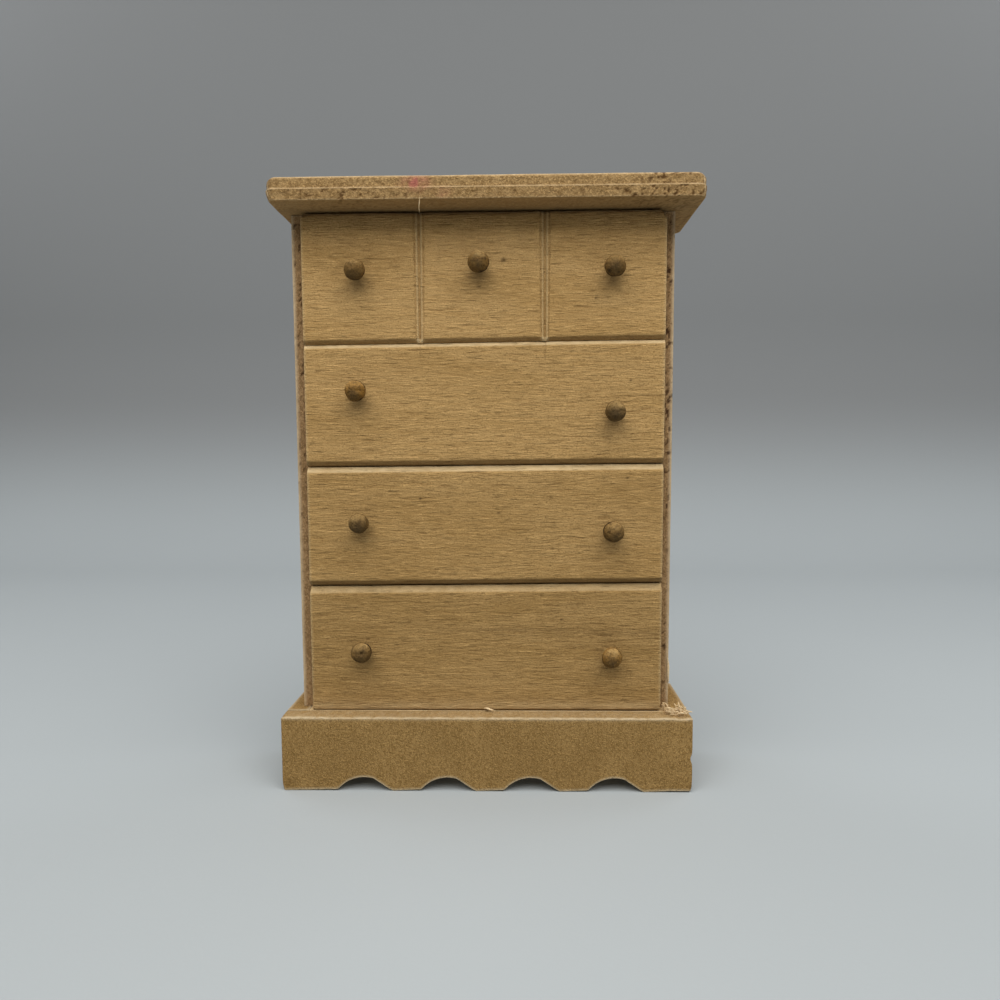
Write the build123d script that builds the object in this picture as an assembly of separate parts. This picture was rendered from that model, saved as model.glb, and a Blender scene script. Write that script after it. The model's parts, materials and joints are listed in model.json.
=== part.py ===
from build123d import *
import os

# A dolls' house chest of drawers in plain unfinished wood, about one twelfth of full size.
# Millimetres, +Z up. The front faces -Y. The origin is the middle of the overall box,
# on the surface that the plinth stands on.

# Overall size
HEIGHT = 115.5
DEPTH = 25.3
FRONT_Y = -DEPTH / 2
BACK_Y = DEPTH / 2

# How far the front faces stand back from the front edge of the top
PLINTH_RECESS = 2.2
FACE_RECESS = 6.45
CARCASS_RECESS = 8.85

# Gaps
GLUE_GAP = 0.03
SLIDE_GAP = 0.10
SIDE_GAP = 0.30
FRONT_GAP = 0.25

# How far a cut reaches past the surface that it opens
CUT_OVER = 1.0

# Top board: a lower layer at full size, and an upper layer set back all round the front
TOP_WIDTH = 80.0
TOP_THICK = 4.4
TOP_LAYER = 2.2
TOP_SETBACK = 0.35
TOP_CORNER_R = 1.0
TOP_EDGE_R = 0.45
TOP_CENTRE_X = 0.17
TOP_UNDERSIDE = HEIGHT - TOP_THICK

# Plinth: a scalloped front board with a return board behind each end of it
PLINTH_WIDTH = 79.72
PLINTH_HEIGHT = 14.7
PLINTH_BOARD = 4.4
PLINTH_CENTRE_X = -0.31
PLINTH_FRONT_Y = FRONT_Y + PLINTH_RECESS
PLINTH_LEFT_X = PLINTH_CENTRE_X - PLINTH_WIDTH / 2
PLINTH_RIGHT_X = PLINTH_CENTRE_X + PLINTH_WIDTH / 2
PLINTH_EASED_R = 0.4
ARCH_COUNT = 4
ARCH_SPACING = 16.25
ARCH_CENTRE_X = 0.2
ARCH_WIDTH = 11.0
ARCH_RISE = 2.7
ARCH_R = ((ARCH_WIDTH / 2) ** 2 + ARCH_RISE**2) / (2 * ARCH_RISE)

# Brads that hold the front board to the returns, set just below the surface
PIN_R = 0.35
PIN_LENGTH = 9.0
PIN_SET = 0.25
PINS = ((-38.3, 1.9), (37.6, 1.4))

# Carcass: two sides, an inset back, a base inside the plinth and three dust shelves
CARCASS_WIDTH = 73.3
CARCASS_CENTRE_X = -0.71
CARCASS_FRONT_Y = FRONT_Y + CARCASS_RECESS
SIDE_THICK = 3.0
BACK_THICK = 1.6
BASE_THICK = 2.4
SHELF_THICK = 1.6
CARCASS_LEFT_X = CARCASS_CENTRE_X - CARCASS_WIDTH / 2
CARCASS_RIGHT_X = CARCASS_CENTRE_X + CARCASS_WIDTH / 2
INSIDE_LEFT_X = CARCASS_LEFT_X + SIDE_THICK
INSIDE_RIGHT_X = CARCASS_RIGHT_X - SIDE_THICK
BACK_PANEL_Y = BACK_Y - BACK_THICK

# Drawer fronts: they overlay the front edges of the sides
FACE_WIDTH = 69.0
FACE_CENTRE_X = -0.49
FACE_Y = FRONT_Y + FACE_RECESS
FACE_REAR_Y = CARCASS_FRONT_Y - SLIDE_GAP
FACE_LEFT_X = FACE_CENTRE_X - FACE_WIDTH / 2
FACE_RIGHT_X = FACE_CENTRE_X + FACE_WIDTH / 2
# Heights of the joints between the fronts, from the top of the stack down to its foot
JOINTS_Z = (110.75, 86.65, 63.25, 39.9, 15.06)
# Bevels along the top and the bottom edge of each front, from the top drawer down
BEVELS = ((0.4, 0.85), (0.8, 1.0), (1.15, 1.05), (1.35, 0.2))
# The top front's upper corners are clipped: width and height, left and right
CLIPPED = ((0.6, 0.9), (0.9, 1.5))

# Two shallow grooves make the top front look like three small drawers
GROOVE_CENTRE_X = -0.70
GROOVE_SPREAD = 11.87
GROOVE_TOP = (1.8, 0.6)
GROOVE_FOOT = (1.15, 0.45)

# Drawer boxes
BOX_WALL = 1.5
BOX_BOTTOM = 1.0
BOX_HEADROOM = 1.5
BOX_REAR_Y = BACK_PANEL_Y - SIDE_GAP
BOX_LEFT_X = INSIDE_LEFT_X + SIDE_GAP
BOX_RIGHT_X = INSIDE_RIGHT_X - SIDE_GAP

# Knobs: a domed head on a neck whose tenon is glued in a blind hole
KNOB_HEAD_R = 2.06
KNOB_RIM = 0.25
KNOB_NECK_R = 0.95
KNOB_NECK = 2.5
KNOB_STAND = 4.8
KNOB_TENON = 1.6
# Places of the knobs by drawer, from the top: name, X, Z
KNOBS = (
    (("left", -24.27, 99.7), ("middle", -1.17, 100.9), ("right", 23.99, 99.9)),
    (("left", -24.59, 77.4), ("right", 24.29, 73.3)),
    (("left", -24.44, 52.3), ("right", 24.18, 50.6)),
    (("left", -24.45, 27.2), ("right", 24.07, 26.2)),
)


def board(x, y, z):
    """A square-edged board between two limits on each axis."""
    middle = (sum(x) / 2, sum(y) / 2, sum(z) / 2)
    return Pos(*middle) * Box(x[1] - x[0], y[1] - y[0], z[1] - z[0])


def along_y(radius, length, x, y, z):
    """A rod that starts at y and runs towards the back."""
    return Pos(x, y + length / 2, z) * Rot(X=90) * Cylinder(radius, length)


def top_board():
    """The overhanging top, with a small step half way up its edge."""
    half = TOP_WIDTH / 2
    x = (TOP_CENTRE_X - half, TOP_CENTRE_X + half)
    lower = board(x, (FRONT_Y, BACK_Y), (TOP_UNDERSIDE, TOP_UNDERSIDE + TOP_LAYER))
    lower = fillet(lower.edges().filter_by(Axis.Z), TOP_CORNER_R)
    inner_x = (x[0] + TOP_SETBACK, x[1] - TOP_SETBACK)
    upper = board(inner_x, (FRONT_Y + TOP_SETBACK, BACK_Y), (TOP_UNDERSIDE + TOP_LAYER, HEIGHT))
    upper = fillet(upper.edges().filter_by(Axis.Z), TOP_CORNER_R)
    upper = fillet(upper.edges().group_by(Axis.Z)[-1], TOP_EDGE_R)
    return lower + upper


def carcass_side(x0):
    """One upright side, from the top of the plinth to the underside of the top."""
    return board((x0, x0 + SIDE_THICK), (CARCASS_FRONT_Y, BACK_Y), (PLINTH_HEIGHT, TOP_UNDERSIDE))


def back_panel():
    """The back, let in between the sides."""
    return board((INSIDE_LEFT_X, INSIDE_RIGHT_X), (BACK_PANEL_Y, BACK_Y), (PLINTH_HEIGHT, TOP_UNDERSIDE))


def base_board():
    """The floor of the carcass, inside the plinth and flush with its top."""
    x = (PLINTH_LEFT_X + PLINTH_BOARD, PLINTH_RIGHT_X - PLINTH_BOARD)
    y = (PLINTH_FRONT_Y + PLINTH_BOARD, BACK_Y)
    return board(x, y, (PLINTH_HEIGHT - BASE_THICK, PLINTH_HEIGHT))


def dust_shelf(joint_z):
    """A thin shelf behind the joint between two drawer fronts."""
    x = (INSIDE_LEFT_X, INSIDE_RIGHT_X)
    y = (CARCASS_FRONT_Y, BACK_PANEL_Y)
    return board(x, y, (joint_z - SHELF_THICK / 2, joint_z + SHELF_THICK / 2))


def pin_bores(y, length):
    """What the brads take out of the boards they pass through."""
    return [along_y(PIN_R + GLUE_GAP, length, x, y, z) for x, z in PINS]


def plinth_front():
    """The front board of the plinth, with a row of arches along its lower edge."""
    y = (PLINTH_FRONT_Y, PLINTH_FRONT_Y + PLINTH_BOARD)
    through = PLINTH_BOARD + 2 * CUT_OVER
    front = board((PLINTH_LEFT_X, PLINTH_RIGHT_X), y, (0, PLINTH_HEIGHT))
    front = fillet(front.edges().filter_by(Axis.Y), PLINTH_EASED_R)
    for i in range(ARCH_COUNT):
        x = ARCH_CENTRE_X + (i - (ARCH_COUNT - 1) / 2) * ARCH_SPACING
        front -= along_y(ARCH_R, through, x, y[0] - CUT_OVER, ARCH_RISE - ARCH_R)
    for bore in pin_bores(y[0] - CUT_OVER, through):
        front -= bore
    return front


def plinth_return(x0):
    """A side board of the plinth, butted against the back of the front board."""
    start_y = PLINTH_FRONT_Y + PLINTH_BOARD
    side = board((x0, x0 + PLINTH_BOARD), (start_y, BACK_Y), (0, PLINTH_HEIGHT))
    for bore in pin_bores(start_y - PIN_R, PLINTH_FRONT_Y + PIN_SET + PIN_LENGTH - start_y + 2 * PIN_R):
        side -= bore
    return side


def plinth_pins():
    """The two brads in the plinth's front corners."""
    return [along_y(PIN_R, PIN_LENGTH, x, PLINTH_FRONT_Y + PIN_SET, z) for x, z in PINS]


def front_blank(low_z, high_z, low_bevel, high_bevel):
    """A drawer front with a bevel along its top edge and its bottom edge."""
    outline = Polyline(
        (FACE_REAR_Y, low_z),
        (FACE_REAR_Y, high_z),
        (FACE_Y + high_bevel, high_z),
        (FACE_Y, high_z - high_bevel),
        (FACE_Y, low_z + low_bevel),
        (FACE_Y + low_bevel, low_z),
        close=True,
    )
    return Pos(FACE_LEFT_X, 0, 0) * extrude(make_face(Plane.YZ * outline), FACE_WIDTH)


def groove_section(x, z, size):
    """The triangle that a groove cuts out of the face at one height."""
    width, depth = size
    points = ((x - width, FACE_Y - depth), (x + width, FACE_Y - depth), (x, FACE_Y + depth))
    return Pos(0, 0, z) * make_face(Polyline(*points, close=True))


def false_division(x):
    """A tapered groove from the top edge of the top front down through its bottom bevel."""
    foot = groove_section(x, JOINTS_Z[1] - CUT_OVER, GROOVE_FOOT)
    head = groove_section(x, HEIGHT, GROOVE_TOP)
    return loft([foot, head])


def clipped_corner(x, width, height):
    """A wedge off an upper corner of the top front, narrowing away from the edge at x."""
    inwards = width if x < 0 else -width
    points = ((x - inwards, JOINTS_Z[0] + height), (x - inwards, JOINTS_Z[0] - 2 * height),
              (x, JOINTS_Z[0] - height), (x + inwards, JOINTS_Z[0]), (x + inwards, JOINTS_Z[0] + height))
    face = make_face(Plane.XZ * Polyline(*points, close=True))
    return Pos(0, FACE_REAR_Y + SIDE_THICK, 0) * extrude(face, DEPTH)


def drawer_front(row):
    """The front of one drawer, with blind holes for its knobs."""
    high_bevel, low_bevel = BEVELS[row]
    high_z = JOINTS_Z[row] - (FRONT_GAP / 2 if row else 0)
    low_z = JOINTS_Z[row + 1] + (FRONT_GAP / 2 if row < len(BEVELS) - 1 else 0)
    front = front_blank(low_z, high_z, low_bevel, high_bevel)
    if row == 0:
        for side in (-1, 1):
            front -= false_division(GROOVE_CENTRE_X + side * GROOVE_SPREAD)
        for x, size in zip((FACE_LEFT_X, FACE_RIGHT_X), CLIPPED):
            front -= clipped_corner(x, *size)
    hole_length = KNOB_TENON + GLUE_GAP + CUT_OVER
    for _, x, z in KNOBS[row]:
        front -= along_y(KNOB_NECK_R + GLUE_GAP, hole_length, x, FACE_Y - CUT_OVER, z)
    return front


def drawer_box(row):
    """The four plain boards behind one drawer front, by name."""
    last = row == len(BEVELS) - 1
    low_z = (PLINTH_HEIGHT if last else JOINTS_Z[row + 1] + SHELF_THICK / 2) + SLIDE_GAP
    high_z = (JOINTS_Z[row] - SHELF_THICK / 2 if row else TOP_UNDERSIDE) - BOX_HEADROOM
    inner_x = (BOX_LEFT_X + BOX_WALL, BOX_RIGHT_X - BOX_WALL)
    rear_y = (BOX_REAR_Y - BOX_WALL, BOX_REAR_Y)
    depth_y = (FACE_REAR_Y, BOX_REAR_Y)
    return {
        "left": board((BOX_LEFT_X, inner_x[0]), depth_y, (low_z, high_z)),
        "right": board((inner_x[1], BOX_RIGHT_X), depth_y, (low_z, high_z)),
        "back": board(inner_x, rear_y, (low_z, high_z)),
        "bottom": board(inner_x, (FACE_REAR_Y, rear_y[0]), (low_z, low_z + BOX_BOTTOM)),
    }


def knob(x, z):
    """A turned knob, its head facing the front."""
    dome = KNOB_STAND - KNOB_NECK - KNOB_RIM
    dome_r = (KNOB_HEAD_R**2 + dome**2) / (2 * dome)
    shaft = Polyline(
        (0, KNOB_STAND),
        (0, -KNOB_TENON),
        (KNOB_NECK_R, -KNOB_TENON),
        (KNOB_NECK_R, KNOB_NECK),
        (KNOB_HEAD_R, KNOB_NECK),
        (KNOB_HEAD_R, KNOB_NECK + KNOB_RIM),
    )
    head = RadiusArc((KNOB_HEAD_R, KNOB_NECK + KNOB_RIM), (0, KNOB_STAND), -dome_r)
    turned = revolve(make_face(shaft + head), Axis.Y)
    return Pos(x, FACE_Y, z) * Rot(Z=180) * turned


def all_parts():
    """Every sub-part by its name."""
    parts = {
        "top_board": top_board(),
        "side_left": carcass_side(CARCASS_LEFT_X),
        "side_right": carcass_side(INSIDE_RIGHT_X),
        "back_panel": back_panel(),
        "base_board": base_board(),
        "plinth_front": plinth_front(),
        "plinth_return_left": plinth_return(PLINTH_LEFT_X),
        "plinth_return_right": plinth_return(PLINTH_RIGHT_X - PLINTH_BOARD),
        "plinth_pins": Compound(children=plinth_pins()),
    }
    for i, joint_z in enumerate(JOINTS_Z[1:-1], start=1):
        parts[f"dust_shelf_{i}"] = dust_shelf(joint_z)
    for row, knobs in enumerate(KNOBS):
        drawer = f"drawer_{row + 1}"
        parts[f"{drawer}_front"] = drawer_front(row)
        for name, piece in drawer_box(row).items():
            parts[f"{drawer}_{name}"] = piece
        for name, x, z in knobs:
            parts[f"knob_{row + 1}_{name}"] = knob(x, z)
    return parts


os.makedirs("parts", exist_ok=True)
for name, part in all_parts().items():
    export_step(part, f"parts/{name}.step")
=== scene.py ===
import json
import math

import bpy
import numpy as np
from mathutils import Matrix, Vector

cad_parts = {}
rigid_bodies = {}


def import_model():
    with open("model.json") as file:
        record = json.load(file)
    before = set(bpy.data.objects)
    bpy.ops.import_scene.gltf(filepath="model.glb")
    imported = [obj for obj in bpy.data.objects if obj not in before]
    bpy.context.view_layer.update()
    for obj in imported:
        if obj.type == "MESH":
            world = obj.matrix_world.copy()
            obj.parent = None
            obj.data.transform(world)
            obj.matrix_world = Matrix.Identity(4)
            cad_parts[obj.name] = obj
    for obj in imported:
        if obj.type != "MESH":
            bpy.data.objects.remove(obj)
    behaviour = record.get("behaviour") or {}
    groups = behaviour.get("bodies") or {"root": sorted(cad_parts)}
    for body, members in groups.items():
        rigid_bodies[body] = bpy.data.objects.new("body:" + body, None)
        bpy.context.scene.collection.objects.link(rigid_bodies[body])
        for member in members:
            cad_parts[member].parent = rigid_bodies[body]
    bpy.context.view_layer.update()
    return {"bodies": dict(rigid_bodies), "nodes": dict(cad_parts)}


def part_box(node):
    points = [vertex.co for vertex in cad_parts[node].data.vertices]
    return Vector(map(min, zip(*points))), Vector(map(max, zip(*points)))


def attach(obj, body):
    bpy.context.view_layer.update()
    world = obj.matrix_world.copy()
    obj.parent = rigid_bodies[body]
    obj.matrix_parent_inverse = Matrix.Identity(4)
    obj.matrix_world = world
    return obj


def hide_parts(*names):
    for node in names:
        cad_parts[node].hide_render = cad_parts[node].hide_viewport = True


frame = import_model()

# A dolls' house chest of drawers in plain unfinished wood, on a pale studio sweep.
# Meshes are worked out in millimetres and stored in metres.

MM = 0.001
FRONT, BACK, LEFT, RIGHT, BELOW, ABOVE = range(6)
CARCASS = "carcass"
DRAWERS = [name for name in frame["bodies"] if name.startswith("drawer_")]


# ---------------------------------------------------------------- numbers and noise

NOISE_TABLE = 4096
HASH_PRIMES = np.array([73856093, 19349663, 83492791])
OCTAVE_SHIFT, OCTAVE_FADE, FRACTAL_GAIN = 17.3, 1.8, 1.6


def box_mm(node):
    """A CAD node's lowest and highest corner, in millimetres."""
    low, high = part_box(node)
    return np.array(low) / MM, np.array(high) / MM


def value_noise(points, seed):
    """Smooth random values from 0 to 1 at points, one lattice cell to the unit."""
    table = np.random.RandomState(seed).rand(NOISE_TABLE)
    cell = np.floor(points).astype(np.int64)
    t = points - cell
    t = t * t * (3 - 2 * t)
    total = np.zeros(len(points))
    for corner in np.ndindex(2, 2, 2):
        key = np.bitwise_xor.reduce((cell + corner) * HASH_PRIMES, axis=1)
        share = np.prod(np.where(np.array(corner), t, 1 - t), axis=1)
        total += share * table[key % NOISE_TABLE]
    return total


def fractal(points, scale, seed, octaves):
    """Several octaves of value noise about zero, from about -1 to 1."""
    scaled = points * np.array(scale)
    total = np.zeros(len(points))
    for i in range(octaves):
        total += (value_noise(scaled * 2.0**i + OCTAVE_SHIFT * i, seed + i) - 0.5) / OCTAVE_FADE**i
    return total * FRACTAL_GAIN


def patchy(points, least, scale, seed):
    """Random values from least to 1."""
    return least + (1 - least) * value_noise(points * scale, seed)


def soft_ramp(t, blur):
    """Like max(0, t), with the corner rounded over about blur."""
    return 0.5 * (t + np.sqrt(t * t + blur * blur))


def hump(t, width):
    """A bell of height 1 and about that half width."""
    return np.exp(-((t / width) ** 2))


def spot(points, x, z, wide, tall):
    """A bell of height 1 round one place on the front, with its half width and half height."""
    return hump(points[:, 0] - x, wide) * hump(points[:, 2] - z, tall)


# ---------------------------------------------------------------- mesh building

EDGE_LINES = np.array([0.0, 0.4, 1.0, 1.8])     # the close lines near an edge, in radii of its rounding
SHARP_ANGLE = math.radians(50)
EDGE_WEAR = 0.45        # how far a worn edge reaches over the faces beside it


def grid_lines(low, high, step, rounding):
    """Coordinates along one side of a board: even steps, with close lines at both rounded ends."""
    ends = rounding * EDGE_LINES
    count = max(1, round((high - low - 2 * ends[-1]) / step))
    middle = np.linspace(low + ends[-1], high - ends[-1], count + 1)
    return np.concatenate([low + ends[:-1], middle, (high - ends[:-1])[::-1]])


def box_grid(lines, capped=()):
    """The surface of a box as one closed grid. A capped side is a single flat face.
    Gives the points, the faces, and the side that each face is on."""
    sizes = [len(line) for line in lines]
    lattice = np.stack(np.meshgrid(*[np.arange(n) for n in sizes], indexing="ij"), axis=-1)
    last = np.array(sizes) - 1
    at_low, at_high = lattice == 0, lattice == last
    sides = {LEFT: (0, 0), RIGHT: (0, 1), FRONT: (1, 0), BACK: (1, 1), BELOW: (2, 0), ABOVE: (2, 1)}
    keep = np.zeros(sizes, bool)
    for side, (axis, end) in sides.items():
        on_side = (at_high if end else at_low)[..., axis]
        if side in capped:
            others = [i for i in range(3) if i != axis]
            on_side = on_side & (at_low[..., others] | at_high[..., others]).any(axis=-1)
        keep |= on_side
    number = np.full(sizes, -1)
    number[keep] = np.arange(keep.sum())
    chosen = lattice[keep]
    points = np.stack([lines[axis][chosen[:, axis]] for axis in range(3)], axis=1)
    faces, face_sides = [], []
    for side, (axis, end) in sides.items():
        sheet = np.take(number, last[axis] if end else 0, axis=axis)
        flip = (end == 1) != (axis == 1)
        if side in capped:
            loop = np.concatenate([sheet[:, 0], sheet[-1, 1:], sheet[-2::-1, -1], sheet[0, -2:0:-1]])
            faces.append(tuple(loop if flip else loop[::-1]))
            face_sides.append(side)
            continue
        corners = [sheet[:-1, :-1], sheet[1:, :-1], sheet[1:, 1:], sheet[:-1, 1:]]
        quads = np.stack([c.ravel() for c in (corners if flip else corners[::-1])], axis=1)
        faces.extend(map(tuple, quads))
        face_sides.extend([side] * len(quads))
    return points, faces, np.array(face_sides)


def round_edges(points, low, high, radius):
    """Moves the points of a box surface so that every edge is an arc of that radius."""
    core = np.clip(points, low + radius, high - radius)
    away = points - core
    length = np.linalg.norm(away, axis=1, keepdims=True)
    return np.where(length > 0, core + away * radius / np.maximum(length, 1e-9), points)


def edge_distance(points, low, high):
    """How far each point of a box surface is from the nearest edge of the box."""
    to_faces = np.minimum(points - low, high - points)
    return np.sort(to_faces, axis=1)[:, 1]


def new_piece(name, points, faces, body, materials, face_material=None, flat_faces=(),
              marks=None):
    """Makes a mesh object from points in millimetres, and rides it on a body.
    marks are the values at each point, from 0 to 1, that the materials read by name."""
    mesh = bpy.data.meshes.new(name)
    mesh.from_pydata((np.asarray(points) * MM).tolist(), [], [list(map(int, f)) for f in faces])
    for material in materials:
        mesh.materials.append(material)
    smooth = np.ones(len(faces), bool)
    if len(flat_faces):
        smooth[flat_faces] = False
    mesh.polygons.foreach_set("use_smooth", smooth)
    if face_material is not None:
        mesh.polygons.foreach_set("material_index", face_material.astype(np.int32))
    for key, values in (marks or {}).items():
        attribute = mesh.attributes.new(key, "FLOAT", "POINT")
        attribute.data.foreach_set("value", np.clip(values, 0, 1).astype(np.float32))
    mesh.update()
    mesh.set_sharp_from_angle(angle=SHARP_ANGLE)
    piece = bpy.data.objects.new(name, mesh)
    bpy.context.scene.collection.objects.link(piece)
    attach(piece, body)
    return piece


def surface_normals(points, faces):
    """Point normals of a mesh that isn't made yet."""
    mesh = bpy.data.meshes.new("scratch")
    mesh.from_pydata(points.tolist(), [], [list(map(int, f)) for f in faces])
    mesh.update()
    normals = np.zeros(len(points) * 3, np.float32)
    mesh.vertex_normals.foreach_get("vector", normals)
    bpy.data.meshes.remove(mesh)
    return normals.reshape(-1, 3).astype(float)


def board(node, body, steps, radius, materials, relief, capped=(), shape=None,
          side_material=None, marks=None):
    """A piece that stands for one board: a rounded dense box in the node's place.
    relief(points, normals) gives how far in each point sinks. shape(points, flat) bends the box
    before that, and marks(points, flat, edge) gives its marks. flat is the box before rounding
    and bending, and edge is each point's distance from the box's nearest edge."""
    low, high = box_mm(node)
    lines = [grid_lines(low[i], high[i], steps[i], radius) for i in range(3)]
    flat, faces, sides = box_grid(lines, capped)
    points = round_edges(flat, low, high, radius)
    if shape is not None:
        points = shape(points, flat)
    normals = surface_normals(points, faces)
    points = points - normals * relief(points, normals)[:, None]
    edge = edge_distance(flat, low, high)
    found = {"wear": hump(edge, EDGE_WEAR) * patchy(flat, 0.45, 0.9, 5)}
    if marks is not None:
        found.update(marks(points, flat, edge))
    face_material = None
    if side_material is not None:
        face_material = np.array([side_material.get(s, 0) for s in range(6)])[sides]
    flat_faces = np.flatnonzero(np.isin(sides, list(capped))) if capped else ()
    piece = new_piece(f"{node}_wood", points, faces, body, materials, face_material, flat_faces,
                      found)
    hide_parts(node)


# ---------------------------------------------------------------- materials

ALONG_X, ALONG_Z = 0, 2                 # the way a board's grain runs
GRIME_AND_SHADE = (0.075, 0.040, 0.014)
WORN_AND_HIGHLIGHT = (0.72, 0.545, 0.305)
RED_STAIN = (0.42, 0.10, 0.10)
FALLOFF_SHADE_TINT = (0.695, 0.69, 0.65)       # painted shade: what the colour of the lowest, most shaded front is multiplied by
DULL = (0.82, 0.95)                     # range of roughness of bare wood


class Shader:
    """One material's node tree. Every texture reads the piece's own coordinates, in millimetres."""

    def __init__(self, name):
        self.material = bpy.data.materials.new(name)
        self.material.use_nodes = True
        self.tree = self.material.node_tree
        self.surface = self.tree.nodes["Principled BSDF"]
        own_place = self.add("ShaderNodeTexCoord").outputs["Object"]
        self.place = self.vector("MULTIPLY", own_place, (1 / MM,) * 3)

    def add(self, kind, inputs=(), **settings):
        node = self.tree.nodes.new(kind)
        for key, value in settings.items():
            setattr(node, key, value)
        for key, value in dict(inputs).items():
            self.set(node.inputs[key], value)
        return node

    def set(self, socket, value):
        if isinstance(value, bpy.types.NodeSocket):
            self.tree.links.new(value, socket)
        elif hasattr(value, "__len__") and socket.type == "RGBA":
            socket.default_value = (*value[:3], 1)
        else:
            socket.default_value = value

    def vector(self, operation, a, b):
        return self.add("ShaderNodeVectorMath", {0: a, 1: b}, operation=operation).outputs[0]

    def math(self, operation, a, b):
        return self.add("ShaderNodeMath", {0: a, 1: b}, operation=operation).outputs[0]

    def noise(self, scale, detail, roughness, distortion=0.0, offset=(0, 0, 0)):
        """Noise from 0 to 1, with its scale in cells per millimetre along each axis."""
        at = self.vector("ADD", self.vector("MULTIPLY", self.place, scale), offset)
        inputs = {"Vector": at, "Scale": 1.0, "Detail": detail, "Roughness": roughness}
        inputs["Distortion"] = distortion
        return self.add("ShaderNodeTexNoise", inputs).outputs["Fac"]

    def step(self, value, low, high, to_low=0.0, to_high=1.0):
        """A smooth step from to_low, where value is low, up to to_high, where it is high."""
        inputs = {"Value": value, "From Min": low, "From Max": high, "To Min": to_low, "To Max": to_high}
        return self.add("ShaderNodeMapRange", inputs, interpolation_type="SMOOTHSTEP").outputs[0]

    def mix(self, a, b, amount, blend="MIX"):
        node = self.add("ShaderNodeMix", data_type="RGBA", blend_type=blend)
        self.set(node.inputs["Factor"], amount)
        self.set([s for s in node.inputs if s.name == "A" and s.type == "RGBA"][0], a)
        self.set([s for s in node.inputs if s.name == "B" and s.type == "RGBA"][0], b)
        return [s for s in node.outputs if s.type == "RGBA"][0]

    def mark(self, name):
        """The piece's own mark of that name."""
        node = self.add("ShaderNodeAttribute", attribute_name=name, attribute_type="GEOMETRY")
        return node.outputs["Fac"]

    def marked(self, colour, other, name, most):
        """Turns colour into other where the piece has that mark, and at most by that share."""
        return self.mix(colour, other, self.math("MULTIPLY", self.mark(name), most))

    def finish(self, colour, roughness, height, depth_mm, specular):
        bump = self.add("ShaderNodeBump", {"Height": height, "Strength": 1.0, "Distance": depth_mm * MM})
        self.set(self.surface.inputs["Base Color"], colour)
        self.set(self.surface.inputs["Roughness"], roughness)
        self.set(self.surface.inputs["Normal"], bump.outputs["Normal"])
        self.surface.inputs["Specular IOR Level"].default_value = specular
        return self.material


def grain_scale(along, fine, coarse):
    """Noise scale, per millimetre, that is drawn out along one axis."""
    return tuple(coarse if i == along else fine for i in range(3))


def raw_wood(name, along, light, deep, dash, relief_mm, offset=(0, 0, 0), contrast=1.0):
    """Sanded bare wood: short drawn-out fibres on soft broad bands, small flecks and pale worn edges, with
    painted highlights, painted shade and grime where a piece's marks ask for them.
    """
    s = Shader(name)
    pale = [min(1, c * 1.3) for c in light]
    bands = s.noise(grain_scale(along, 0.13, 0.03), 3, 0.5, 0.6, offset)
    streaks = s.noise(grain_scale(along, 2.0, 0.09), 3, 0.6, 0.05, offset)
    fibres = s.noise(grain_scale(along, 3.2, 0.36), 3, 0.7, 0.1, offset)
    dashes = s.noise(grain_scale(along, 4.8, 0.5), 2, 0.65, 0.1, [c + 37 for c in offset])
    cracks = s.noise(grain_scale(along, 3.4, 0.2), 2, 0.5, 0.1, [c + 71 for c in offset])
    fine = s.noise(grain_scale(along, 5.5, 3.4), 2, 0.7, 0.0, offset)
    flecks = s.noise((1.3, 1.3, 1.9), 1, 0.5, 0.0, (31, 7, 3))
    colour = s.mix(light, deep, s.step(bands, 0.36, 0.66, 0, 0.75))
    colour = s.mix(colour, deep, s.step(streaks, 0.46, 0.68, 0, 0.5 * contrast))
    colour = s.mix(colour, dash, s.step(dashes, 0.53, 0.72, 0, 0.58 * contrast))
    colour = s.mix(colour, pale, s.step(fibres, 0.48, 0.32, 0, 0.7 * contrast))
    colour = s.mix(colour, dash, s.step(fine, 0.48, 0.70, 0, 0.68 * contrast))
    colour = s.mix(colour, dash, s.step(cracks, 0.65, 0.72, 0, 0.55 * contrast))
    colour = s.mix(colour, dash, s.step(flecks, 0.80, 0.86, 0, 0.7))
    # painted shade: lower fronts are multiplied darker, standing in for the light falling off towards the
    # bottom
    colour = s.mix(colour, FALLOFF_SHADE_TINT, s.mark("darkening"), "MULTIPLY")
    # pale wear, and painted highlights where a piece marks them
    colour = s.marked(colour, WORN_AND_HIGHLIGHT, "wear", 0.9)
    # grime, and painted shade where a piece marks it
    colour = s.marked(colour, GRIME_AND_SHADE, "grime", 0.9)
    lift = s.math("MULTIPLY", fine, 0.55)
    ruts = s.math("ADD", dashes, s.math("MULTIPLY", fibres, 0.7))
    ruts = s.math("ADD", ruts, s.step(cracks, 0.62, 0.7, 0, 0.5))
    height = s.math("SUBTRACT", lift, ruts)
    return s.finish(colour, s.step(fibres, 0.3, 0.7, *DULL), height, relief_mm, 0.12)


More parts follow.
